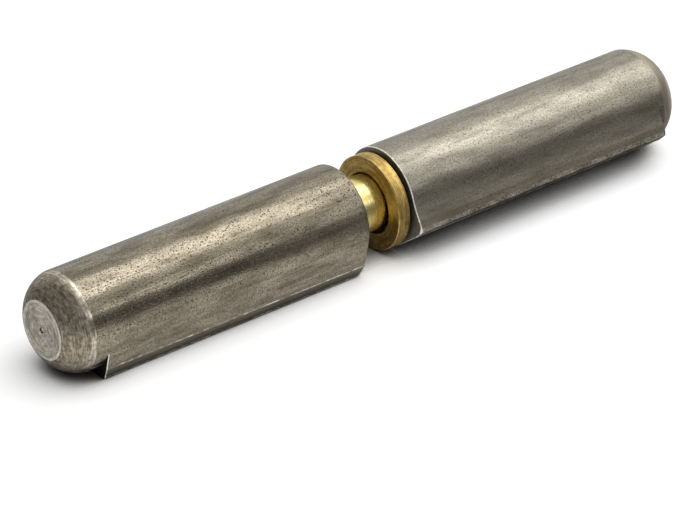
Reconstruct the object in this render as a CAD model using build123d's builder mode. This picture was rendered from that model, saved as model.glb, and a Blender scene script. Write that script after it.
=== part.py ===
"""Weld-on barrel hinge: two barrels of drawn teardrop bar, a pressed-in pin and a loose thrust washer.

The hinge lies on a flat surface, drawn a little way apart. Its axis runs along X, with the pin barrel
towards -X and the socket barrel towards +X, and its front is -Y. The origin is the bottom centre of
the whole hinge. Lengths are in millimetres and angles in degrees.
"""

import os
from math import acos, atan2, cos, degrees, radians, sin, sqrt, tan

from build123d import *

# Drawn bar: a round with a nose along its whole length, between a lip flank and a plain flank
barrel_radius = 10.0
flank_angle = 38.5  # from the nose direction to the outward normal of each flank
hollow_turn = 5.0  # how far the round runs on past the lip flank before the hollow begins
lip_setback = 2.35  # from the point where the flanks would meet back to the crease above the lip
lip_width = 1.3
lip_flare = 5.0  # how far the lip turns outwards from its flank
land_width = 0.9  # flat along the very edge of the nose
land_tilt = 23.5  # from the nose direction to the outward normal of the land
prep_setback = 2.45  # from the point where the flanks would meet back to the bevel for the weld
nose_rounding = 0.2

# Each barrel
barrel_length = 69.5
face_chamfer = 0.12
pin_barrel_nose_round = 1.9  # turned on the nose's corner at the bored face
socket_barrel_nose_round = 0.5
bore_chamfer = 0.5
drill_point_angle = 118.0

# Turned outer end of each barrel
end_flat_radius = 5.9
dome_radius = 7.4
skin_allowance = 0.15  # by which the turned radius clears the bar's round
pin_barrel_relief = 1.4  # turned at one radius, from the dome to the shoulder cut into the nose
socket_barrel_relief = 0.1
centre_mark_radius = 0.6
centre_mark_angle = 90.0

# Pin and washer
pin_radius = 5.65
pin_seat_depth = 30.0
pin_reach = 32.0  # beyond the pin barrel's face
pin_chamfer = 0.8
running_clearance = 0.05
bore_end_gap = 1.5
washer_thickness = 2.8
washer_inset = 0.45  # by which the washer's radius is less than the barrels'
washer_clearance = 0.6  # between the pin and the washer's bore, all round
washer_chamfer = 0.15
washer_lift = 0.05  # left under the washer, which hangs low on the pin

# How the hinge lies
pin_shown = 7.6  # between the pin barrel's face and the washer
washer_to_socket = 0.65
swing_at_rest = 37.0  # how far the socket barrel's nose is turned up from the pin barrel's


def bar_direction(angle):
    """The unit vector in the bar's section at an angle from its nose, towards the lip flank."""
    return Vector(cos(radians(angle)), sin(radians(angle)))


# The bar's section, with its nose along X and its lip flank on the +Y side
flanks_meet = barrel_radius / cos(radians(flank_angle)) * bar_direction(0)
hollow_start = barrel_radius * bar_direction(flank_angle - hollow_turn)
lip_crease = flanks_meet + lip_setback * bar_direction(flank_angle + 90)
lip_edge = lip_crease + lip_width * bar_direction(flank_angle + lip_flare - 90)
nose_edge = lip_edge + land_width * bar_direction(land_tilt - 90)
prep_start = flanks_meet + prep_setback * bar_direction(-flank_angle - 90)
plain_tangent = barrel_radius * bar_direction(-flank_angle)

with BuildSketch() as bar:
    with BuildLine():
        ThreePointArc(plain_tangent, -barrel_radius * bar_direction(0), hollow_start)
        TangentArc(hollow_start, lip_crease, tangent=bar_direction(flank_angle - hollow_turn - 90))
        Polyline(lip_crease, lip_edge, nose_edge, prep_start, plain_tangent)
    make_face()
    nose_corners = bar.vertices().sort_by(SortBy.DISTANCE)[-2:]
    fillet(nose_corners, radius=nose_rounding)

# The pin barrel rests on its round and on the edge of its lip
lip_edge_angle = degrees(atan2(lip_edge.Y, lip_edge.X))
resting_angle = degrees(acos(barrel_radius / lip_edge.length))
pin_barrel_nose = lip_edge_angle + resting_angle - 90  # from the front, upwards
socket_barrel_nose = pin_barrel_nose + swing_at_rest

# The axis stands one radius high, and midway between the hinge's front and its back
front_reach = bar.sketch.rotate(Axis.Z, socket_barrel_nose).bounding_box().max.X
axis_depth = (max(front_reach, barrel_radius) - barrel_radius) / 2
axis_height = barrel_radius
open_gap = pin_shown + washer_thickness + washer_to_socket
socket_bore_depth = pin_reach - washer_thickness + bore_end_gap
washer_drop = min(washer_inset, washer_clearance) - washer_lift


def face_plane(x, outwards, nose_angle):
    """The plane of a barrel's bored face: Z leaves the bore, and X points along the nose."""
    nose_direction = (0, -cos(radians(nose_angle)), sin(radians(nose_angle)))
    return Plane(origin=(x, axis_depth, axis_height), x_dir=nose_direction, z_dir=(outwards, 0, 0))


def make_barrel(face, bore_radius, bore_depth, relief, nose_round):
    """One barrel: a length of bar with its outer end turned to a dome and its inner end bored."""
    turned_radius = barrel_radius + skin_allowance
    dome_centre_offset = turned_radius - dome_radius
    dome_length = sqrt(dome_radius**2 - (end_flat_radius - dome_centre_offset) ** 2)
    dome_middle = (dome_length - dome_radius * sin(radians(30)),
                   dome_centre_offset + dome_radius * cos(radians(30)))
    shoulder_setback = dome_length + relief
    round_start = barrel_length - nose_round
    round_middle = (round_start + nose_round * sin(radians(45)),
                    nose_edge.length - nose_round * (1 - cos(radians(45))))
    swarf_radius = flanks_meet.X
    drill_point = bore_radius / tan(radians(drill_point_angle / 2))
    centre_mark_depth = centre_mark_radius / tan(radians(centre_mark_angle / 2))

    # X of the lathe plane runs along the axis from the end flat, and Y runs out towards the nose
    lathe = Plane(face.origin - barrel_length * face.z_dir, x_dir=face.z_dir, z_dir=face.y_dir)
    bore_end = barrel_length - bore_depth

    with BuildPart() as barrel:
        with BuildSketch(face):
            add(bar.sketch)
        extrude(amount=-barrel_length)
        bored_face = barrel.faces().sort_by(Axis(face.origin, face.z_dir))[-1]
        chamfer(bored_face.edges(), length=face_chamfer)

        with BuildSketch(lathe):
            with BuildLine():
                ThreePointArc((0, end_flat_radius), dome_middle, (dome_length, turned_radius))
                Polyline(
                    (dome_length, turned_radius),
                    (shoulder_setback, turned_radius),
                    (shoulder_setback, swarf_radius),
                    (0, swarf_radius),
                    (0, end_flat_radius),
                )
            make_face()
            with BuildLine():
                Polyline((0, 0), (0, centre_mark_radius), (centre_mark_depth, 0), close=True)
            make_face()
            with BuildLine():
                face_end = (barrel_length, nose_edge.length - nose_round)
                ThreePointArc((round_start, nose_edge.length), round_middle, face_end)
                Polyline(
                    face_end,
                    (barrel_length, swarf_radius),
                    (round_start, swarf_radius),
                    (round_start, nose_edge.length),
                )
            make_face()
            with BuildLine():
                Polyline(
                    (barrel_length, 0),
                    (barrel_length, bore_radius + bore_chamfer),
                    (barrel_length - bore_chamfer, bore_radius),
                    (bore_end, bore_radius),
                    (bore_end - drill_point, 0),
                    close=True,
                )
            make_face()
        revolve(axis=Axis(face.origin, face.z_dir), mode=Mode.SUBTRACT)
    return barrel


pin_face = face_plane(-open_gap / 2, 1, pin_barrel_nose)
socket_face = face_plane(open_gap / 2, -1, socket_barrel_nose)
washer_face = Plane(pin_face.origin + Vector(pin_shown, 0, -washer_drop), z_dir=pin_face.z_dir)

pin_barrel = make_barrel(
    pin_face, pin_radius, pin_seat_depth, pin_barrel_relief, pin_barrel_nose_round
)
socket_barrel = make_barrel(
    socket_face,
    pin_radius + running_clearance,
    socket_bore_depth,
    socket_barrel_relief,
    socket_barrel_nose_round,
)

with BuildPart() as hinge_pin:
    with BuildSketch(pin_face.offset(-pin_seat_depth)):
        Circle(pin_radius)
    extrude(amount=pin_seat_depth + pin_reach)
    chamfer(hinge_pin.edges().filter_by(GeomType.CIRCLE), length=pin_chamfer)

with BuildPart() as thrust_washer:
    with BuildSketch(washer_face):
        Circle(barrel_radius - washer_inset)
        Circle(pin_radius + washer_clearance, mode=Mode.SUBTRACT)
    extrude(amount=washer_thickness)
    chamfer(thrust_washer.edges().filter_by(GeomType.CIRCLE), length=washer_chamfer)

os.makedirs("parts", exist_ok=True)
for label, piece in (
    ("pin_barrel", pin_barrel),
    ("socket_barrel", socket_barrel),
    ("hinge_pin", hinge_pin),
    ("thrust_washer", thrust_washer),
):
    piece.part.label = label
    export_step(piece.part, f"parts/{label}.step")
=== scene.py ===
"""Weld-on barrel hinge: its fine forms, its finishes and its studio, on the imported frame.

Lengths are in metres in the hinge's own frame: +X runs along the pin from the pin barrel to the
socket barrel, -Y is the front and +Z is up. The fine meshes of the two barrels stand for the CAD
nodes of the same size. The pin and the washer keep their CAD meshes and only take a finish.
"""

import logging
import math
from dataclasses import dataclass, field
from enum import Enum
from typing import Any

import bpy
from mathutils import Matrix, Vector, noise

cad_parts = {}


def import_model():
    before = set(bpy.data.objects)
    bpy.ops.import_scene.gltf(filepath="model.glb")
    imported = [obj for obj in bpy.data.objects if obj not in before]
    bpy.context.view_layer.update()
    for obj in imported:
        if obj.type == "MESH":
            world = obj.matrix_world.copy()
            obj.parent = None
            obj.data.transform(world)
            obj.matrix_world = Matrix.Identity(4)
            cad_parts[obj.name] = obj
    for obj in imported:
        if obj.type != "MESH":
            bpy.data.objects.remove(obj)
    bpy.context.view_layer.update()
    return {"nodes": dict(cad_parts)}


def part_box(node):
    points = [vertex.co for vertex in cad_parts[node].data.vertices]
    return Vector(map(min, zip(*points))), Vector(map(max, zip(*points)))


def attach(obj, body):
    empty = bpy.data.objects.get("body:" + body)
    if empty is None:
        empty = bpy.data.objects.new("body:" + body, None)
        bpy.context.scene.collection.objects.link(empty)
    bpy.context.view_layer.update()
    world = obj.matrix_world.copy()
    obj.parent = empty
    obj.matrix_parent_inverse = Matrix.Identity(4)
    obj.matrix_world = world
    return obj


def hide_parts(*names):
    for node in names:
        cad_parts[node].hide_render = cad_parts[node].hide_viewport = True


LOG = logging.getLogger("hinge")
MM = 0.001
TINY = 1e-6
ROUNDING_STEPS = 4
WHITE = (1.0, 1.0, 1.0, 1.0)

Socket = bpy.types.NodeSocket
Tree = bpy.types.NodeTree
Value = float | bpy.types.NodeSocket
Span = tuple[float, float]
Size = tuple[float, float, float]


# --- Node helpers ---


def linear(hex_colour: str) -> tuple[float, float, float, float]:
    """Turns an sRGB hex colour to the linear values that a node takes.

    Args:
        hex_colour: Six hex digits, such as "8a8478".

    Returns:
        Linear red, green and blue, and an alpha of 1.
    """
    channels = [int(hex_colour[i : i + 2], 16) / 255 for i in (0, 2, 4)]
    values = [c / 12.92 if c <= 0.04045 else ((c + 0.055) / 1.055) ** 2.4 for c in channels]
    return values[0], values[1], values[2], 1.0


def add_node(
    tree: Tree, kind: str, links: dict[Any, Any] | None = None, **settings: Any
) -> bpy.types.Node:
    """Adds a node with its settings, values and links.

    Args:
        tree: The node tree that takes the node.
        kind: The node's type, without the leading "ShaderNode".
        links: Input name or index to a value, or to the output socket that feeds it.
        **settings: Attributes of the node itself.

    Returns:
        The new node.
    """
    node = tree.nodes.new("ShaderNode" + kind)
    for name, value in settings.items():
        setattr(node, name, value)
    for key, value in (links or {}).items():
        if isinstance(value, Socket):
            tree.links.new(value, node.inputs[key])
        else:
            node.inputs[key].default_value = value
    return node


def empty_tree(owner: bpy.types.Material | bpy.types.World) -> Tree:
    """Gives a material or a world a node tree with nothing in it."""
    owner.use_nodes = True
    owner.node_tree.nodes.clear()
    return owner.node_tree


def calculate(tree: Tree, operation: str, *values: Value) -> Socket:
    """The result of a Math node, from values or the outputs that feed it."""
    return add_node(tree, "Math", dict(enumerate(values)), operation=operation).outputs[0]


def separate(tree: Tree, vector: Socket) -> Any:
    """The X, Y and Z of a vector, as outputs 0, 1 and 2."""
    return add_node(tree, "SeparateXYZ", {0: vector}).outputs


def vector_math(tree: Tree, operation: str, *vectors: Any) -> Socket:
    """The vector that a Vector Math node makes, from vectors or the outputs that feed it."""
    node = add_node(tree, "VectorMath", dict(enumerate(vectors)), operation=operation)
    return node.outputs[0]


def size_of(tree: Tree, vector: Socket) -> Socket:
    """A vector's length."""
    return add_node(tree, "VectorMath", {0: vector}, operation="LENGTH").outputs["Value"]


def ramp(
    tree: Tree, value: Socket, low: Value, high: Value, start: Value, end: Value,
    shape: str = "LINEAR",
) -> Socket:
    """Maps a value's range to another, held at both ends.

    Args:
        tree: The node tree.
        value: The value to map.
        low: Its value at the start.
        high: Its value at the end.
        start: The result at the start.
        end: The result at the end.
        shape: How it goes between them, as Map Range names it.

    Returns:
        The mapped value.
    """
    inputs = {0: value, 1: low, 2: high, 3: start, 4: end}
    node = add_node(tree, "MapRange", inputs, clamp=True, interpolation_type=shape)
    return node.outputs[0]


def tint(tree: Tree, share: Socket, first: Any, second: Any) -> Socket:
    """Mixes two colours.

    Args:
        tree: The node tree.
        share: How much of the second.
        first: A colour, or the output that gives one.
        second: A colour, or the output that gives one.

    Returns:
        The mixed colour.
    """
    node = add_node(tree, "Mix", {0: share, 6: first, 7: second}, data_type="RGBA")
    return node.outputs[2]


# --- Finishes ---


@dataclass(frozen=True)
class Finish:
    """What all finishes share: a name, and a bare metal's colour and roughness.

    Sizes and depths are in millimetres. A window is the pair of noise values between which a
    pattern comes in, and a stray is how much rougher and how much smoother it makes the metal.
    """

    name: str
    colour: str
    roughness: float

    def start(self, axis: Span) -> tuple[bpy.types.Material, Tree, Socket, Socket]:
        """Makes an empty material whose pattern coordinates are millimetres from an axis.

        Args:
            axis: The Y and Z of the piece's axis.

        Returns:
            The material, its tree, the coordinates, and their part that is square to the axis.
        """
        material = bpy.data.materials.new(self.name)
        tree = empty_tree(material)
        place = add_node(tree, "TexCoord").outputs["Object"]
        centred = vector_math(tree, "SUBTRACT", place, (0.0, *axis))
        in_mm = vector_math(tree, "MULTIPLY", centred, (1 / MM,) * 3)
        across = vector_math(tree, "MULTIPLY", in_mm, (0.0, 1.0, 1.0))
        return material, tree, in_mm, across

    @staticmethod
    def end(
        tree: Tree, colour: Socket, roughness: Socket, normal: Socket, **inputs: Value
    ) -> None:
        """Closes the material with a bare metal.

        Args:
            tree: The material's tree.
            colour: The metal's colour over the surface.
            roughness: Its roughness over the surface.
            normal: The normal with its bumps.
            **inputs: What else the shader takes, by socket name.
        """
        metal = {"Base Color": colour, "Metallic": 1.0, "Roughness": roughness, "Normal": normal}
        shader = add_node(tree, "BsdfPrincipled", metal | inputs)
        add_node(tree, "OutputMaterial", {"Surface": shader.outputs[0]})

    def uneven(self, tree: Tree, pattern: Socket, window: Span, stray: Span) -> Socket:
        """Roughness that strays with a pattern, from rough to smooth over its window."""
        rough, smooth = self.roughness + stray[0], self.roughness - stray[1]
        return ramp(tree, pattern, *window, rough, smooth)

    @staticmethod
    def noise(tree: Tree, place: Socket, size: Size, detail: float = 2.0) -> Socket:
        """Noise whose spots have a real size.

        Args:
            tree: The material's tree.
            place: The coordinates in millimetres.
            size: The spots' size along X, Y and Z, in millimetres.
            detail: How many finer layers it has.

        Returns:
            The noise, from 0 to 1 and mostly near 0.5.
        """
        scaled = vector_math(tree, "MULTIPLY", place, tuple(1 / s for s in size))
        inputs = {"Vector": scaled, "Scale": 1.0, "Detail": detail}
        return add_node(tree, "TexNoise", inputs).outputs["Fac"]

    @staticmethod
    def bump(tree: Tree, height: Socket, depth_mm: float, normal: Socket | None = None) -> Socket:
        """Raises a pattern on the surface.

        Args:
            tree: The material's tree.
            height: The pattern, from 0 to 1.
            depth_mm: How high a value of 1 stands.
            normal: The normal of a coarser bump under this one.

        Returns:
            The bumped normal.
        """
        inputs: dict[Any, Any] = {"Height": height, "Distance": depth_mm * MM, "Strength": 1.0}
        if normal is not None:
            inputs["Normal"] = normal
        return add_node(tree, "Bump", inputs).outputs[0]


@dataclass(frozen=True)
class DrawnSteel(Finish):
    """Mild steel as drawn and pickled: warm grey, dull and pitted, with lines along the bar."""

    shade: str = "6f6757"
    tooth: str = "4c463b"
    pit: str = "2b2722"
    # Rolled-in scale: cloudy patches a few millimetres wide, which mottle the grey
    patch_size: Size = (8.0, 1.8, 1.8)
    patch_detail: float = 4.0
    patch_window: Span = (0.30, 0.60)
    sheen_window: Span = (0.3, 0.7)
    sheen_stray: Span = (0.04, 0.02)
    # Die marks: fine straight lines that run the bar's whole length
    line_size: Size = (45.0, 0.35, 0.35)
    line_window: Span = (0.32, 0.55)
    line_tint: float = 0.45
    line_height: float = 0.4
    # The flats and rounds wander a little, so that long highlights have uneven edges
    wave_size: Size = (16.0, 1.6, 1.6)
    wave_depth: float = 0.024
    # Straightening rolls leave faint marks across the bar
    ripple_size: Size = (0.45, 5.0, 5.0)
    ripple: float = 0.0
    # Grain of the pickled skin: a fine leathery tooth that breaks the highlight up
    grain: float = 0.24
    grain_stretch: float = 1.3
    grain_window: Span = (0.34, 0.60)
    grain_tint: float = 0.6
    grain_depth: float = 0.020
    # Fine pits: their radii are shares of their spacing, and they are twice the grain's depth
    pit_spacing: float = 0.44
    pit_share: float = 1.0
    pit_radii: Span = (0.02, 0.42)
    pit_edge: Span = (0.45, 1.15)
    pit_tint: float = 0.88
    pit_depth: float = 2.0
    # Scale pits: wider and fewer, at a multiple of the fine ones' spacing
    deep_spacing: float = 3.6
    deep_share: float = 0.35
    deep_widest: float = 0.15
    deep_tint: float = 0.9
    # Painted shade: the steel darkens towards the nose, far from the axis
    scale_radii: Span = (11.5, 12.3)
    scale_tints: Span = (0.0, 0.0)
    # Handling rust dulls the bored end, where the bar is gripped
    dulled_along: Span = (8.0, 36.0)
    dulled: float = 0.0

    def pits(
        self, tree: Tree, place: Socket, spacing: float, share: float, widest: float
    ) -> Socket:
        """Round holes scattered over the surface.

        Args:
            tree: The material's tree.
            place: The coordinates in millimetres.
            spacing: Their mean spacing in millimetres.
            share: How many of the cells have one.
            widest: The widest hole's radius, as a share of the spacing.

        Returns:
            1 in a hole and 0 around it.
        """
        inputs = {"Vector": place, "Scale": 1 / spacing, "Randomness": 1.0}
        cells = add_node(tree, "TexVoronoi", inputs)
        picked = add_node(tree, "SeparateColor", {0: cells.outputs["Color"]}).outputs[0]
        reach = ramp(tree, picked, 1 - share, 1.0, self.pit_radii[0], widest)
        inside = calculate(tree, "DIVIDE", cells.outputs["Distance"], reach)
        return ramp(tree, inside, *self.pit_edge, 1.0, 0.0)

    def material(self, axis: Span) -> bpy.types.Material:
        """Builds the steel.

        Args:
            axis: The Y and Z of the bar's axis.

        Returns:
            The material.
        """
        material, tree, place, across = self.start(axis)
        patches = self.noise(tree, place, self.patch_size, self.patch_detail)
        lines = self.noise(tree, place, self.line_size)
        waves = self.noise(tree, place, self.wave_size, 1.0)
        ripple = self.noise(tree, place, self.ripple_size, 1.0)
        grain_size = (self.grain * self.grain_stretch, self.grain, self.grain)
        grain = self.noise(tree, place, grain_size, 1.0)
        fine = self.pits(tree, place, self.pit_spacing, self.pit_share, self.pit_radii[1])
        deep_spacing = self.deep_spacing * self.pit_spacing
        deep = self.pits(tree, place, deep_spacing, self.deep_share, self.deep_widest)

        patched = ramp(tree, patches, *self.patch_window, 0.0, 1.0)
        colour = tint(tree, patched, linear(self.shade), linear(self.colour))
        lined = ramp(tree, lines, *self.line_window, self.line_tint, 0.0)
        colour = tint(tree, lined, colour, linear(self.shade))
        grained = ramp(tree, grain, *self.grain_window, self.grain_tint, 0.0)
        colour = tint(tree, grained, colour, linear(self.tooth))
        dark_fine = calculate(tree, "MULTIPLY", fine, self.pit_tint)
        dark_deep = calculate(tree, "MULTIPLY", deep, self.deep_tint)
        pitted = calculate(tree, "MAXIMUM", dark_fine, dark_deep)
        # Painted shade towards the nose, mixed towards the pits' colour
        scaled = ramp(tree, size_of(tree, across), *self.scale_radii, *self.scale_tints)
        darkest = calculate(tree, "MAXIMUM", pitted, scaled)
        colour = tint(tree, darkest, colour, linear(self.pit))

        long_form = calculate(tree, "MULTIPLY_ADD", ripple, self.ripple, waves)
        form = self.bump(tree, long_form, self.wave_depth)
        height = calculate(tree, "MULTIPLY_ADD", lines, self.line_height, grain)
        skin = self.bump(tree, height, self.grain_depth, form)
        solid = calculate(tree, "SUBTRACT", 1.0, calculate(tree, "MAXIMUM", fine, deep))
        normal = self.bump(tree, solid, self.pit_depth * self.grain_depth, skin)

        along = calculate(tree, "ABSOLUTE", separate(tree, place)[0])
        dull = ramp(tree, along, *self.dulled_along, self.dulled, 0.0)
        sheen = self.uneven(tree, patches, self.sheen_window, self.sheen_stray)
        self.end(tree, colour, calculate(tree, "ADD", sheen, dull), normal)
        return material


@dataclass(frozen=True)
class TurnedMetal(Finish):
    """Bare metal as it leaves the lathe: brighter, with fine rings about its axis."""

    shade: str = "6b655c"
    # Feed marks: rings that follow the tool along the axis and across the face, and that fade
    # in and out on the way round. They are drawn about twice as wide as they are cut.
    ring: float = 0.20
    ring_window: Span = (0.3, 0.62)
    ring_depth: float = 0.008
    breaks: float = 2.2
    sheen_window: Span = (0.3, 0.7)
    sheen_stray: Span = (0.06, 0.04)
    # Chatter: broader rings, where the tool bit a little deeper
    chatter_scale: float = 0.22
    chatter_height: float = 1.5
    # Handling: stains and small dents that cross the rings
    stain: float = 0.9
    stain_detail: float = 3.0
    stain_window: Span = (0.34, 0.56)
    blotch: float = 0.0
    dent: float = 0.28
    dent_depth: float = 0.0
    # The finest marks aren't drawn one by one: they stretch the highlights across themselves
    anisotropy: float = 0.6

    def rings(
        self, tree: Tree, place: Socket, across: Socket, scale: float, detail: float
    ) -> Socket:
        """Rings about the axis.

        Args:
            tree: The material's tree.
            place: The coordinates in millimetres.
            across: Their part that is square to the axis.
            scale: The rings' fineness, where 1 is that of the feed marks.
            detail: How many finer layers they have.

        Returns:
            The rings, from 0 to 1 and mostly near 0.5.
        """
        along, radius = separate(tree, place)[0], size_of(tree, across)
        heading = separate(tree, vector_math(tree, "NORMALIZE", across))
        path = add_node(tree, "CombineXYZ", {0: along, 1: radius, 2: heading[1]}).outputs[0]
        feed = vector_math(tree, "MULTIPLY", path, (1 / self.ring, 1 / self.ring, self.breaks))
        around = calculate(tree, "MULTIPLY", heading[2], self.breaks)
        inputs = {"Vector": feed, "W": around, "Scale": scale, "Detail": detail}
        return add_node(tree, "TexNoise", inputs, noise_dimensions="4D").outputs["Fac"]

    def material(self, axis: Span) -> bpy.types.Material:
        """Builds the turned metal.

        Args:
            axis: The Y and Z of the axis that it was turned about.

        Returns:
            The material.
        """
        material, tree, place, across = self.start(axis)
        rings = self.rings(tree, place, across, 1.0, 2.0)
        chatter = self.rings(tree, place, across, self.chatter_scale, 1.0)
        stains = self.noise(tree, place, (self.stain,) * 3, self.stain_detail)
        dents = self.noise(tree, place, (self.dent,) * 3, 1.0)

        ringed = ramp(tree, rings, *self.ring_window, 0.0, 1.0)
        colour = tint(tree, ringed, linear(self.shade), linear(self.colour))
        stained = ramp(tree, stains, *self.stain_window, self.blotch, 0.0)
        colour = tint(tree, stained, colour, linear(self.shade))

        height = calculate(tree, "MULTIPLY_ADD", chatter, self.chatter_height, rings)
        turned = self.bump(tree, height, self.ring_depth)
        normal = self.bump(tree, dents, self.dent_depth, turned)
        roughness = self.uneven(tree, rings, self.sheen_window, self.sheen_stray)
        circling = vector_math(tree, "CROSS_PRODUCT", (1.0, 0.0, 0.0), across)
        tangent = add_node(
            tree, "VectorTransform", {0: circling}, convert_from="OBJECT", convert_to="WORLD"
        ).outputs[0]
        marks = {"Tangent": tangent, "Anisotropic": self.anisotropy}
        self.end(tree, colour, roughness, normal, **marks)
        return material


@dataclass(frozen=True)
class TornEdge(Finish):
    """Steel torn up along an edge: pale, coarse and matt, with shiny flecks between dark nicks. On
    the burr and the fold the paleness is a painted highlight.
    """

    shade: str = "57514a"
    # Torn grain: flecks longer than they are wide, some bright and some in shadow
    fleck: float = 0.45
    fleck_stretch: float = 1.6
    fleck_window: Span = (0.38, 0.64)
    depth: float = 0.05
    sheen_window: Span = (0.35, 0.65)
    sheen_stray: Span = (0.1, 0.08)
    # The flecks are thick along some stretches and thin along others
    stretch_size: Size = (4.0, 2.0, 2.0)
    stretch_window: Span = (0.35, 0.65)
    stretch_shift: float = 0.09
    # Below 1 where the metal is torn so fine that it scatters some light as a matt paint does; on
    # the burr it keeps the painted glint pale towards the dark room
    metal: float = 1.0

    def material(self, axis: Span) -> bpy.types.Material:
        """Builds the torn edge.

        Args:
            axis: The Y and Z of the bar's axis.

        Returns:
            The material.
        """
        material, tree, place, _ = self.start(axis)
        size = (self.fleck * self.fleck_stretch, self.fleck, self.fleck)
        grain = self.noise(tree, place, size)
        stretch = self.noise(tree, place, self.stretch_size, 1.0)
        least, most = -self.stretch_shift, self.stretch_shift
        shift = ramp(tree, stretch, *self.stretch_window, least, most)
        flecks = calculate(tree, "ADD", shift, grain)
        bright = ramp(tree, flecks, *self.fleck_window, 0.0, 1.0)
        colour = tint(tree, bright, linear(self.shade), linear(self.colour))
        normal = self.bump(tree, flecks, self.depth)
        roughness = self.uneven(tree, flecks, self.sheen_window, self.sheen_stray)
        self.end(tree, colour, roughness, normal, Metallic=self.metal)
        return material


# --- Barrels ---


class Skin(Enum):
    """How a stretch of a barrel's surface was made, with the painted light or shade that some
    stretches carry. The value is its material slot.
    """

    DRAWN = 0
    TURNED = 1
    FACED = 2
    BURR = 3
    LAND = 4
    LIP = 5
    FOLD = 6
    PREP = 7
    BAND = 8
    NOTCH = 9
    # Has no slot: it stands for the ring past the shoulder, where each stretch has its own skin
    SHOULDER = 10


def bar_direction(angle: float) -> Vector:
    """The unit vector in the bar's section at an angle from its nose, in degrees."""
    return Vector((math.cos(math.radians(angle)), math.sin(math.radians(angle))))


@dataclass(frozen=True)
class Bar:
    """The drawn bar's section: X points along the nose, and the lip flank is on the +Y side."""

    radius: float = 10.0 * MM
    flank_angle: float = 38.5
    hollow_turn: float = 5.0
    lip_setback: float = 2.35 * MM
    lip_width: float = 1.3 * MM
    lip_flare: float = 5.0
    land_width: float = 0.9 * MM
    land_tilt: float = 23.5
    prep_setback: float = 2.45 * MM
    lip_rounding: float = 0.2 * MM
    nose_rounding: float = 0.4 * MM
    fold_height: float = 0.08 * MM
    burr_width: float = 0.16 * MM
    spacing: float = 0.3 * MM
    fine_spacing: float = 0.15 * MM

    def corners(self) -> dict[str, Vector]:
        """The section's corners, by name."""
        meet = self.radius / math.cos(math.radians(self.flank_angle)) * bar_direction(0)
        crease = meet + self.lip_setback * bar_direction(self.flank_angle + 90)
        lip = crease + self.lip_width * bar_direction(self.flank_angle + self.lip_flare - 90)
        nose = lip + self.land_width * bar_direction(self.land_tilt - 90)
        prep = meet + self.prep_setback * bar_direction(-self.flank_angle - 90)
        return {"crease": crease, "lip": lip, "nose": nose, "prep": prep}

    def nose_angle_at_rest(self) -> float:
        """The nose's angle above the front when the bar rests on its round and its lip."""
        lip = self.corners()["lip"]
        lean = math.acos(self.radius / lip.length)
        return math.degrees(math.atan2(lip.y, lip.x) + lean) - 90.0

    def arc(self, centre: Vector, start: Vector, end: Vector, turn: float) -> list[Vector]:
        """Points along an arc, without its end.

        Args:
            centre: The arc's centre.
            start: Its first point.
            end: Its last point, on the same circle.
            turn: 1 for anticlockwise, -1 for clockwise.

        Returns:
            The points.
        """
        first = math.atan2(start.y - centre.y, start.x - centre.x)
        last = math.atan2(end.y - centre.y, end.x - centre.x)
        sweep = turn * ((turn * (last - first)) % math.tau)
        radius = (start - centre).length
        count = max(2, round(abs(sweep) * radius / self.spacing))
        angles = [first + sweep * i / count for i in range(count)]
        return [centre + radius * Vector((math.cos(a), math.sin(a))) for a in angles]

    def line(self, start: Vector, end: Vector, spacing: float) -> list[Vector]:
        """Points along a straight line at about one spacing, without its end."""
        count = max(2, round((end - start).length / spacing))
        return [start.lerp(end, i / count) for i in range(count)]

    def rounded(
        self, before: Vector, corner: Vector, after: Vector, radius: float
    ) -> list[Vector]:
        """Points that round a corner off.

        Args:
            before: A point on the side that leads to the corner.
            corner: The sharp corner.
            after: A point on the side that leaves it.
            radius: The rounding's radius.

        Returns:
            The points, from where the rounding starts to where it ends.
        """
        to_start, to_end = (before - corner).normalized(), (after - corner).normalized()
        half = to_start.angle(to_end) / 2
        cut = radius / math.tan(half)
        centre = corner + (to_start + to_end).normalized() * radius / math.sin(half)
        first = (corner + cut * to_start - centre).normalized()
        last = (corner + cut * to_end - centre).normalized()
        shares = [i / ROUNDING_STEPS for i in range(ROUNDING_STEPS + 1)]
        return [centre + radius * first.slerp(last, share) for share in shares]

    def outline(self) -> list[tuple[Vector, Skin]]:
        """The closed outline, anticlockwise from the plain flank.

        Returns:
            Each point, and the skin of the stretch that it starts.
        """
        at = self.corners()
        plain_tangent = self.radius * bar_direction(-self.flank_angle)
        hollow_start = self.radius * bar_direction(self.flank_angle - self.hollow_turn)
        # The hollow's centre is outside the bar, in line with the round's at the point they share
        chord = at["crease"] - hollow_start
        outwards = hollow_start.normalized()
        hollow_radius = chord.length_squared / (2 * chord.dot(outwards))
        hollow_centre = hollow_start + outwards * hollow_radius
        lip = self.rounded(at["nose"], at["lip"], at["crease"], self.lip_rounding)
        nose = self.rounded(at["prep"], at["nose"], at["lip"], self.nose_rounding)
        fold_start = at["prep"] + (plain_tangent - at["prep"]).normalized() * self.burr_width
        fold = at["prep"] + bar_direction(-self.flank_angle) * self.fold_height
        fold_end = at["prep"] + (nose[0] - at["prep"]).normalized() * self.burr_width
        land = self.line(nose[-1], lip[0], self.fine_spacing)
        stretches = [
            (self.line(plain_tangent, fold_start, self.spacing), Skin.DRAWN),
            # The fold carries a painted highlight
            ([fold_start, fold], Skin.FOLD),
            # Painted shade on the weld side below the fold
            (self.line(fold_end, nose[0], self.fine_spacing), Skin.PREP),
            (nose[:-1] + land + lip[:-1], Skin.LAND),
            (self.line(lip[-1], at["crease"], self.fine_spacing), Skin.LIP),
            (self.arc(hollow_centre, at["crease"], hollow_start, -1.0), Skin.DRAWN),
            (self.arc(Vector((0, 0)), hollow_start, plain_tangent, 1.0), Skin.DRAWN),
        ]
        return [(point, skin) for points, skin in stretches for point in points]


@dataclass
class Ring:
    """One ring of a barrel's mesh: where it lies, its points, and the skin that leads to it."""

    along: float
    points: list[Vector]
    skin: Skin


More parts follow.
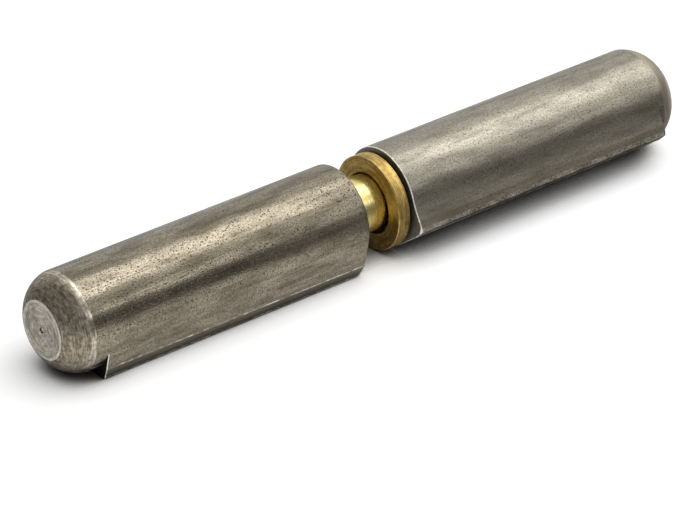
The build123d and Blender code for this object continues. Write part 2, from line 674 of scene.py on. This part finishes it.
@dataclass
class Barrel:
    """A barrel: drawn bar with a turned dome at one end and a bored face at the other.

    A distance along it is taken from the flat at the dome's end towards the bored face.
    """

    node: str
    body: str
    # 1 where the bored face looks towards +X, and -1 where it looks towards -X
    outwards: float
    nose_angle: float
    axis: Span
    seed: float
    bore_radius: float
    bore_depth: float
    relief: float
    nose_round: float
    face_skin: Skin
    shoulder_skin: Skin
    materials: dict[Skin, bpy.types.Material]
    bar: Bar = field(default_factory=Bar)
    end_flat_radius: float = 5.9 * MM
    rim_width: float = 0.5 * MM
    rim_drop: float = 0.06 * MM
    dome_radius: float = 7.4 * MM
    # The dome's rings crowd towards its flat, where it is steepest
    dome_crowding: float = 1.25
    band_width: float = 0.9 * MM
    skin_allowance: float = 0.15 * MM
    # The centre mark is a cone as deep as its radius, with rings at shares of it. A painted glint
    # fills its middle and painted shade its outer ring
    centre_mark_radius: float = 0.6 * MM
    centre_mark: tuple[tuple[float, Skin], ...] = (
        (0.02, Skin.BURR), (0.7, Skin.BURR), (1.0, Skin.NOTCH),
    )
    shoulder_burr: float = 0.24 * MM
    face_chamfer: float = 0.12 * MM
    face_burr: float = 0.22 * MM
    face_rings: int = 10
    bore_chamfer: float = 0.5 * MM
    bore_spacing: float = 1.2 * MM
    drill_point_angle: float = 118.0
    drill_point_rings: Span = (0.5, 0.98)
    # Nicks of this size and depth take a little over half of the edge, and finer ones lie over
    # them. The fold's are shallower.
    nick_length: float = 0.9 * MM
    nick_width: float = 0.5 * MM
    nick_depth: float = 0.16 * MM
    nick_excess: float = 0.15
    fine_nick_scale: float = 3.1
    fine_nick_share: float = 0.3
    fold_nick_share: float = 0.3
    crease_angle: float = 14.0
    end_x: float = field(init=False)
    length: float = field(init=False)
    outline: list[tuple[Vector, Skin]] = field(init=False)

    def __post_init__(self) -> None:
        """Takes the barrel's ends from its CAD node, and its outline from the bar."""
        low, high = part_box(self.node)
        self.end_x = low.x if self.outwards > 0 else high.x
        self.length = high.x - low.x
        self.outline = self.bar.outline()

    @property
    def turned(self) -> float:
        """The radius that the bar is turned down to where the dome ends."""
        return self.bar.radius + self.skin_allowance

    @property
    def whole(self) -> float:
        """The radius that holds the whole bar with its nose."""
        return self.bar.corners()["nose"].length

    @property
    def dome_length(self) -> float:
        """How long the dome is, from the end flat to its widest circle."""
        return self.dome_reach(self.end_flat_radius)

    @property
    def skin_line(self) -> float:
        """How far along the dome meets the bar's drawn skin."""
        return self.dome_length - self.dome_reach(self.bar.radius)

    @property
    def shoulder(self) -> float:
        """How far along the notch ends and the bar's nose stands up."""
        return self.dome_length + self.relief

    def dome_reach(self, radius: float) -> float:
        """How far a circle of the dome is from its widest one."""
        off_axis = self.turned - self.dome_radius
        return math.sqrt(self.dome_radius**2 - (radius - off_axis) ** 2)

    def world_point(self, along: float, point: Vector) -> Vector:
        """Places a point of the section in the frame.

        Args:
            along: The distance along the barrel.
            point: The point in the section.

        Returns:
            The point in the hinge's frame.
        """
        angle = math.radians(self.nose_angle)
        nose = Vector((0.0, -math.cos(angle), math.sin(angle)))
        side = Vector((self.outwards, 0.0, 0.0)).cross(nose)
        start = Vector((self.end_x + self.outwards * along, *self.axis))
        return start + nose * point.x + side * point.y

    def turned_radius(self, along: float) -> float:
        """The radius that the lathe leaves at a distance along the barrel."""
        if along < self.dome_length:
            off_axis = self.turned - self.dome_radius
            return off_axis + math.sqrt(self.dome_radius**2 - (self.dome_length - along) ** 2)
        if along < self.shoulder:
            return self.turned
        past = min(along - (self.length - self.nose_round), self.nose_round)
        if past > 0:
            return self.whole - self.nose_round + math.sqrt(self.nose_round**2 - past**2)
        return self.whole

    def circle(self, radius: float) -> list[Vector]:
        """A ring of one radius, with the outline's own directions."""
        return [point.normalized() * radius for point, _ in self.outline]

    def worn(self, along: float) -> list[Vector]:
        """The outline at a distance along, with nicks in its nose, always inwards.

        Args:
            along: The distance along the barrel.

        Returns:
            The outline's points.
        """
        result = []
        for point, skin in self.outline:
            depth = 0.0
            if skin in (Skin.LAND, Skin.FOLD):
                place = Vector((along / self.nick_length, point.y / self.nick_width, self.seed))
                depth = self.nick_depth * max(0.0, noise.noise(place) + self.nick_excess)
                finer = abs(noise.noise(self.fine_nick_scale * place))
                depth += self.fine_nick_share * self.nick_depth * finer
                depth *= self.fold_nick_share if skin is Skin.FOLD else 1.0
            result.append(point - point.normalized() * depth)
        return result

    def clipped(self, along: float, radius: float) -> list[Vector]:
        """The worn outline at a distance along, cut back to a radius."""
        points = self.worn(along)
        return [p if p.length < radius else p.normalized() * radius for p in points]

    def steps(self, start: float, end: float, spacing: float | None = None) -> list[float]:
        """Even steps from a start to an end, without the start.

        Args:
            start: Where they start.
            end: Where they end.
            spacing: About how far apart they are, or None for the bar's own spacing.

        Returns:
            The steps.
        """
        count = max(1, round(abs(end - start) / (spacing or self.bar.spacing)))
        return [start + (end - start) * (i + 1) / count for i in range(count)]

    def dome_rings(self) -> list[Ring]:
        """The centre mark, the end flat with its rim, and the dome as far as the drawn skin."""
        mark = self.centre_mark_radius
        rings = [
            Ring(mark * (1 - share), self.circle(mark * share), skin)
            for share, skin in self.centre_mark
        ]
        for radius in self.steps(mark, self.end_flat_radius - self.rim_width):
            rings.append(Ring(0.0, self.circle(radius), Skin.FACED))
        # The rim carries a painted glint
        rings.append(Ring(self.rim_drop, self.circle(self.end_flat_radius), Skin.BURR))
        skin_line = self.skin_line
        for share in self.steps(0.0, 1.0, self.bar.spacing / skin_line):
            along = skin_line * share**self.dome_crowding
            # The band next to the drawn skin carries a painted highlight
            skin = Skin.TURNED if along < skin_line - self.band_width else Skin.BAND
            rings.append(Ring(along, self.clipped(along, self.turned_radius(along)), skin))
        return rings

    def body_rings(self) -> list[Ring]:
        """The drawn bar: the notch, its shoulder, and the nose as far as the bored face."""
        rings = []
        shoulder = self.shoulder
        for along in self.steps(self.skin_line, shoulder):
            radius = self.turned_radius(min(along, shoulder - TINY))
            rings.append(Ring(along, self.clipped(along, radius), Skin.DRAWN))
        # The shoulder's face in the notch carries painted shade
        for radius in self.steps(self.turned, self.whole):
            rings.append(Ring(shoulder, self.clipped(shoulder, radius), Skin.NOTCH))
        burr_end = shoulder + self.shoulder_burr
        rings.append(Ring(burr_end, self.worn(burr_end), Skin.SHOULDER))
        round_start = self.length - self.nose_round
        for along in self.steps(burr_end, round_start):
            rings.append(Ring(along, self.worn(along), Skin.DRAWN))
        face_edge = self.length - self.face_burr
        for along in self.steps(round_start, face_edge, self.bar.fine_spacing):
            rings.append(Ring(along, self.clipped(along, self.turned_radius(along)), Skin.DRAWN))
        return rings

    def bore_rings(self) -> list[Ring]:
        """The bored face, the bore and its drill point."""
        edge = self.clipped(self.length, self.turned_radius(self.length))
        inner = [point - point.normalized() * self.face_chamfer for point in edge]
        rings = [Ring(self.length, inner, self.face_skin)]
        mouth = self.bore_radius + self.bore_chamfer
        for share in self.steps(0.0, 1.0, 1 / self.face_rings):
            ring = [point.lerp(point.normalized() * mouth, share) for point in inner]
            rings.append(Ring(self.length, ring, Skin.FACED))
        chamfered, bottom = self.length - self.bore_chamfer, self.length - self.bore_depth
        for along in [chamfered, *self.steps(chamfered, bottom, self.bore_spacing)]:
            rings.append(Ring(along, self.circle(self.bore_radius), Skin.TURNED))
        point_length = self.bore_radius / math.tan(math.radians(self.drill_point_angle / 2))
        for share in self.drill_point_rings:
            ring = self.circle(self.bore_radius * (1 - share))
            rings.append(Ring(bottom - point_length * share, ring, Skin.TURNED))
        return rings

    def paint(self, mesh: bpy.types.Mesh, rings: list[Ring]) -> None:
        """Gives each face the material of its skin.

        Args:
            mesh: The grid, with its faces in order along each ring.
            rings: The rings that it was laid over.
        """
        for skin in Skin:
            if skin is not Skin.SHOULDER:
                mesh.materials.append(self.materials[skin])
        count = len(self.outline)
        for index, polygon in enumerate(mesh.polygons):
            skin = rings[index // count + 1].skin
            point, own_skin = self.outline[index % count]
            if skin is Skin.SHOULDER and point.length > self.turned:
                skin = self.shoulder_skin
            elif skin in (Skin.DRAWN, Skin.SHOULDER):
                skin = own_skin
            polygon.material_index = skin.value

    def build(self) -> bpy.types.Object:
        """Models the barrel and puts it in its node's place.

        Returns:
            The finished piece.
        """
        rings = [*self.dome_rings(), *self.body_rings(), *self.bore_rings()]
        bpy.ops.mesh.primitive_grid_add(
            x_subdivisions=len(self.outline), y_subdivisions=len(rings) - 1
        )
        piece = bpy.context.object
        piece.name = self.node + "_fine"
        mesh = piece.data
        coordinates = []
        for ring in rings:
            for point in ring.points + ring.points[:1]:
                coordinates.extend(self.world_point(ring.along, point))
        mesh.vertices.foreach_set("co", coordinates)
        self.paint(mesh, rings)
        bpy.ops.object.mode_set(mode="EDIT")
        bpy.ops.mesh.select_all(action="SELECT")
        bpy.ops.mesh.remove_doubles(threshold=TINY)
        bpy.ops.mesh.select_all(action="DESELECT")
        bpy.ops.mesh.select_non_manifold()
        bpy.ops.mesh.edge_face_add()
        bpy.ops.mesh.select_all(action="SELECT")
        bpy.ops.mesh.normals_make_consistent(inside=False)
        bpy.ops.object.mode_set(mode="OBJECT")
        bpy.ops.object.shade_smooth_by_angle(angle=math.radians(self.crease_angle))
        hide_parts(self.node)
        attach(piece, self.body)
        LOG.info("%s: %d faces", piece.name, len(mesh.polygons))
        return piece


# --- Studio ---


@dataclass(frozen=True)
class Fade:
    """A level that goes evenly from one value to another between two positions."""

    low: float
    high: float
    start: float
    end: float

    def over(self, tree: Tree, position: Socket) -> Socket:
        """The level at a position."""
        return ramp(tree, position, self.low, self.high, self.start, self.end)


@dataclass(frozen=True)
class Studio:
    """A white table under one overhead softbox, in a room that is dark towards the front.

    Positions on the table are in metres. Positions in the room are parts of a unit direction.
    """

    box_height: float = 0.60
    box_power: float = 2.2
    box_centre: Span = (0.35, -0.045)
    box_size: Span = (0.80, 0.49)
    azimuth: float = -39.0
    elevation: float = 29.71
    distance: float = 0.945
    aim: Size = (-8.22 * MM, -3.19 * MM, 4.15 * MM)
    lens: float = 262.5
    sensor_width: float = 36.0
    table_size: float = 6.0
    # Paint and glow together are a little above white where nothing shades the table
    table_colour: float = 0.8
    table_glow: float = 0.3
    # The mirrored table in front and behind, along X, and the front's share along Y
    front: Fade = Fade(-0.005, 0.02, 1.0, 0.24)
    behind: Fade = Fade(0.0, 0.035, 0.45, 1.0)
    front_edge: Fade = Fade(-0.080, -0.025, 0.65, 1.0)
    front_to_behind: Span = (-0.006, 0.006)
    near_to_far: Span = (0.13, 0.24)
    far: float = 0.11
    # The shade under the hinge: how open the sky is where it is deepest and where it ends
    sky_reach: float = 0.03
    sky_samples: int = 12
    deepest: Fade = Fade(-0.03, 0.02, 0.20, 0.08)
    lightest: Fade = Fade(-0.03, 0.02, 0.52, 0.43)
    past_left: Span = (-0.080, -0.060)
    past_right: Span = (0.060, 0.080)
    lightest_left: float = 0.92
    lightest_right: float = 0.70
    clear_from: float = 0.65
    mirrored_shade: float = 0.16
    shade_colour: tuple[float, float, float, float] = (0.105, 0.093, 0.081, 1.0)
    # The room: its front along X, and where each part of it starts
    horizon: Fade = Fade(-0.30, 0.05, 0.95, 0.18)
    left: Fade = Fade(-0.30, 0.05, 0.36, 1.0)
    strip_from: Span = (0.36, 0.42)
    strip: float = 2.0
    upper_from: Span = (0.50, 0.56)
    upper: float = 0.8
    overhead_from: Span = (0.66, 0.83)
    overhead: float = 1.25
    back_from: Span = (-0.1, 0.3)
    back: float = 0.92
    back_ends: Span = (0.83, 0.84)

    def open_table(self, tree: Tree, parts: Any) -> Socket:
        """How far each part of the table is out of the hinge's shade.

        Args:
            tree: The table's tree.
            parts: The place's X, Y and Z.

        Returns:
            0 in the deepest shade and 1 out of it.
        """
        open_sky = add_node(
            tree, "AmbientOcclusion", {"Distance": self.sky_reach}, samples=self.sky_samples
        ).outputs["AO"]
        deepest = self.deepest.over(tree, parts[0])
        lightest = self.lightest.over(tree, parts[0])
        # The domes' shade spreads further, past the barrels' ends
        lightest = ramp(tree, parts[0], *self.past_left, self.lightest_left, lightest)
        lightest = ramp(tree, parts[0], *self.past_right, lightest, self.lightest_right)
        return ramp(tree, open_sky, deepest, lightest, 0.0, 1.0, "SMOOTHSTEP")

    def mirrored_table(self, tree: Tree, place: Socket, parts: Any) -> Socket:
        """How light the metal sees the table, before the shade.

        It is lighter behind on the right and in front on the left, and dims away from the hinge.

        Args:
            tree: The table's tree.
            place: The place on the table.
            parts: The place's X, Y and Z.

        Returns:
            The level, up to 1.
        """
        behind = self.behind.over(tree, parts[0])
        front_edge = self.front_edge.over(tree, parts[1])
        front = calculate(tree, "MULTIPLY", self.front.over(tree, parts[0]), front_edge)
        near = ramp(tree, parts[1], *self.front_to_behind, front, behind)
        return ramp(tree, size_of(tree, place), *self.near_to_far, near, self.far)

    def floor(self) -> None:
        """Lays the white table, which keeps the hinge's shade in the camera and in the metal."""
        bpy.ops.mesh.primitive_plane_add(size=self.table_size, location=(0, 0, 0))
        floor = bpy.context.object
        floor.name = "table"
        material = bpy.data.materials.new("white table")
        tree = empty_tree(material)
        paths = add_node(tree, "LightPath").outputs
        place = add_node(tree, "TexCoord").outputs["Object"]
        parts = separate(tree, place)
        lit = self.open_table(tree, parts)
        clear = ramp(tree, lit, 0.0, self.clear_from, 0.0, 1.0)
        shade = ramp(tree, clear, 0.0, 1.0, self.mirrored_shade, 1.0)
        level = calculate(tree, "MULTIPLY", shade, self.mirrored_table(tree, place, parts))
        mirror = add_node(tree, "CombineColor", {0: level, 1: level, 2: level}).outputs[0]
        # The steel throws a little of its own warmth into the shade
        warm = tint(tree, clear, self.shade_colour, WHITE)
        shown = tint(tree, paths["Is Camera Ray"], mirror, warm)
        painted = vector_math(tree, "MULTIPLY", shown, (self.table_colour,) * 3)
        paint = add_node(tree, "BsdfDiffuse", {"Color": painted}).outputs[0]
        strength = calculate(tree, "MULTIPLY", lit, self.table_glow)
        glow = add_node(tree, "Emission", {"Color": shown, "Strength": strength}).outputs[0]
        pale = add_node(tree, "AddShader", {0: paint, 1: glow}).outputs[0]
        # Every other ray finds plain white paint
        plain_colour = (*[self.table_colour] * 3, 1.0)
        plain = add_node(tree, "BsdfDiffuse", {"Color": plain_colour}).outputs[0]
        direct = calculate(tree, "MAXIMUM", paths["Is Camera Ray"], paths["Is Glossy Ray"])
        direct = calculate(tree, "MAXIMUM", direct, paths["Is Transmission Ray"])
        mix = add_node(tree, "MixShader", {0: direct, 1: plain, 2: pale})
        add_node(tree, "OutputMaterial", {"Surface": mix.outputs[0]})
        floor.data.materials.append(material)

    def softbox(self) -> None:
        """Hangs the softbox over the table."""
        bpy.ops.object.light_add(type="AREA", location=(*self.box_centre, self.box_height))
        lamp = bpy.context.object
        lamp.name = "overhead_softbox"
        lamp.data.shape = "RECTANGLE"
        lamp.data.size, lamp.data.size_y = self.box_size
        lamp.data.energy = self.box_power

    def room(self) -> None:
        """Lights the room: bright overhead, pale behind, and dark low in front and on the left.

        In front a bright strip runs above the dark horizon, under a dimmer wall.
        """
        world = bpy.data.worlds.new("room")
        bpy.context.scene.world = world
        tree = empty_tree(world)
        direction = add_node(tree, "TexCoord").outputs["Generated"]
        parts = separate(tree, direction)
        horizon = self.horizon.over(tree, parts[0])
        front = ramp(tree, parts[2], *self.strip_from, horizon, self.strip)
        front = ramp(tree, parts[2], *self.upper_from, front, self.upper)
        front = ramp(tree, parts[2], *self.overhead_from, front, self.overhead)
        behind = ramp(tree, parts[1], *self.back_from, front, self.back)
        level = ramp(tree, parts[2], *self.back_ends, behind, front)
        strength = calculate(tree, "MULTIPLY", level, self.left.over(tree, parts[0]))
        room = add_node(tree, "Background", {"Color": WHITE, "Strength": strength})
        add_node(tree, "OutputWorld", {"Surface": room.outputs[0]})

    def camera(self) -> None:
        """Places the camera, which looks down on the hinge past its left end."""
        azimuth, elevation = math.radians(self.azimuth), math.radians(self.elevation)
        back = Vector(
            (
                math.sin(azimuth) * math.cos(elevation),
                -math.cos(azimuth) * math.cos(elevation),
                math.sin(elevation),
            )
        )
        bpy.ops.object.camera_add(location=Vector(self.aim) + back * self.distance)
        camera = bpy.context.object
        camera.rotation_euler = (-back).to_track_quat("-Z", "Y").to_euler()
        camera.data.lens = self.lens
        camera.data.sensor_width = self.sensor_width
        bpy.context.scene.camera = camera

    def build(self) -> None:
        """Builds the whole studio."""
        self.floor()
        self.softbox()
        self.room()
        self.camera()
        bpy.context.scene.view_settings.view_transform = "Standard"
        LOG.info("studio: table, softbox, room and camera")


# --- The hinge ---


# The steel of the pin barrel, most of which the socket barrel shares
PIN_STEEL = {
    # The turned dome: warm, with bright rings and brown stains between them
    Skin.TURNED: TurnedMetal(
        "turned mild steel", "b3a996", 0.35, shade="62594c", blotch=0.8, anisotropy=0.4,
        breaks=5.0,
    ),
    # The tool's last pass, next to the drawn skin: a smoother band, whose brighter colour is a
    # painted highlight
    Skin.BAND: TurnedMetal(
        "turned mild steel, last pass, painted highlight", "cfc6b5", 0.22, shade="716a5d", blotch=0.7,
        anisotropy=0.3, breaks=5.0,
    ),
    # Painted shade in the notch's wall and about the centre mark: nearly black, and dull
    Skin.NOTCH: DrawnSteel("painted shade of mild steel", "3a352d", 0.50, shade="2a2620", tooth="1c1915"),
    # The faced end flat: pale, with rings about its centre and fine dents
    Skin.FACED: TurnedMetal(
        "faced mild steel", "efe7d9", 0.42, shade="a0988b", ring=0.4, blotch=0.6,
        dent_depth=0.03,
    ),
    # The burr along an edge: a thin, nearly white line, which is a painted glint. It is a fifth
    # matt, so that it stays pale where it faces the dark room
    Skin.BURR: TornEdge(
        "burr of mild steel, painted glint", "fffaf0", 0.55, shade="d8d0c2", fleck=0.35, metal=0.8
    ),
    # The sheared land at the nose: a pale, coarse edge with dark nicks
    Skin.LAND: TornEdge(
        "sheared edge of mild steel", "e6dece", 0.45, shade="847c6e", fleck=0.20
    ),
    # The fold on the weld side: a pale line that comes and goes, a painted highlight
    Skin.FOLD: TornEdge(
        "folded edge of mild steel, painted highlight", "e6dccb", 0.50, shade="958c7d", fleck=0.8
    ),
    # Drawn bar: warm grey, mottled and pitted, and duller towards the bored end
    Skin.DRAWN: DrawnSteel(
        "drawn mild steel, pin barrel", "a09785", 0.23, pit_spacing=0.43, dulled=0.14
    ),
    # The weld side: painted shade, dark and blackest at the nose
    Skin.PREP: DrawnSteel("weld side of mild steel, painted shade", "8f8675", 0.30, scale_tints=(0.28, 0.93)),
}
# The steel that is the socket barrel's own
SOCKET_STEEL = {
    # Smoother drawn bar: greyer, with finer pits and a broad highlight, and painted shade that
    # darkens its hollow towards the lip
    Skin.DRAWN: DrawnSteel(
        "drawn mild steel, socket barrel", "a8a293", 0.36, shade="827d70", tooth="6a655a",
        pit="3d3830", line_tint=0.25, wave_depth=0.012, ripple=0.25, grain_depth=0.010,
        pit_share=0.9, pit_spacing=0.37, scale_radii=(10.2, 12.0), scale_tints=(0.0, 0.45),
    ),
    # The lip's upper side: brown grey and dull, with few pits
    Skin.LIP: DrawnSteel(
        "lip of mild steel", "877f70", 0.38, shade="6b6355", tooth="5d564b",
        grain_depth=0.006, pit_share=0.3,
    ),
    # The far dome: pale and even, as its rings hardly show
    Skin.TURNED: TurnedMetal(
        "turned mild steel, socket barrel", "bdb3a1", 0.42, shade="938a7a", blotch=0.3,
        anisotropy=0.2,
    ),
    # The bored face: a colder, matt grey, with fine rings; its light, cold colour is painted light
    # that offsets the washer's shade and warm reflection
    Skin.FACED: TurnedMetal(
        "faced mild steel, bored end", "acafad", 0.62, shade="808280", ring=0.25,
        blotch=0.5, dent_depth=0.01,
    ),
}
# Drawn pin: clear yellow, with the sharpest highlights of all
PIN_BRASS = TurnedMetal("drawn brass", "f0e4a2", 0.25, shade="d0b262", blotch=0.2)
# Turned washer: browner and duller, with stains over its rings
WASHER_BRASS = TurnedMetal("turned brass", "cdb26c", 0.42, shade="846636", blotch=0.6)


def main() -> None:
    """Dresses the hinge and sets the studio."""
    logging.basicConfig(level=logging.INFO)
    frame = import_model()
    bpy.ops.object.select_all(action="DESELECT")
    pin_low, pin_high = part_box("hinge_pin")
    axis = ((pin_low.y + pin_high.y) / 2, (pin_low.z + pin_high.z) / 2)
    washer_low, washer_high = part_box("thrust_washer")
    washer_axis = (axis[0], (washer_low.z + washer_high.z) / 2)

    steel = {skin: finish.material(axis) for skin, finish in PIN_STEEL.items()}
    own_steel = {skin: finish.material(axis) for skin, finish in SOCKET_STEEL.items()}
    nose = Bar().nose_angle_at_rest()
    Barrel(
        node="pin_barrel",
        body="pin_side",
        outwards=1.0,
        nose_angle=nose,
        axis=axis,
        seed=1.7,
        bore_radius=5.65 * MM,
        bore_depth=30.0 * MM,
        relief=1.4 * MM,
        nose_round=1.9 * MM,
        face_skin=Skin.DRAWN,
        # A painted glint along the shoulder's edge
        shoulder_skin=Skin.BURR,
        materials=steel | {Skin.LIP: steel[Skin.DRAWN]},
    ).build()
    swing_at_rest = 37.0
    Barrel(
        node="socket_barrel",
        body="socket_side",
        outwards=-1.0,
        nose_angle=nose + swing_at_rest,
        axis=axis,
        seed=5.3,
        bore_radius=5.7 * MM,
        bore_depth=30.7 * MM,
        relief=0.1 * MM,
        nose_round=0.5 * MM,
        # A painted glint along the bored face's edge
        face_skin=Skin.BURR,
        shoulder_skin=Skin.DRAWN,
        materials=steel | own_steel | {Skin.BAND: own_steel[Skin.TURNED]},
    ).build()

    brass = {
        "hinge_pin": PIN_BRASS.material(axis),
        "thrust_washer": WASHER_BRASS.material(washer_axis),
    }
    for name, material in brass.items():
        mesh = frame["nodes"][name].data
        mesh.materials.clear()
        mesh.materials.append(material)
        LOG.info("%s: %s", name, material.name)
    Studio().build()


if __name__ == "__main__":
    main()
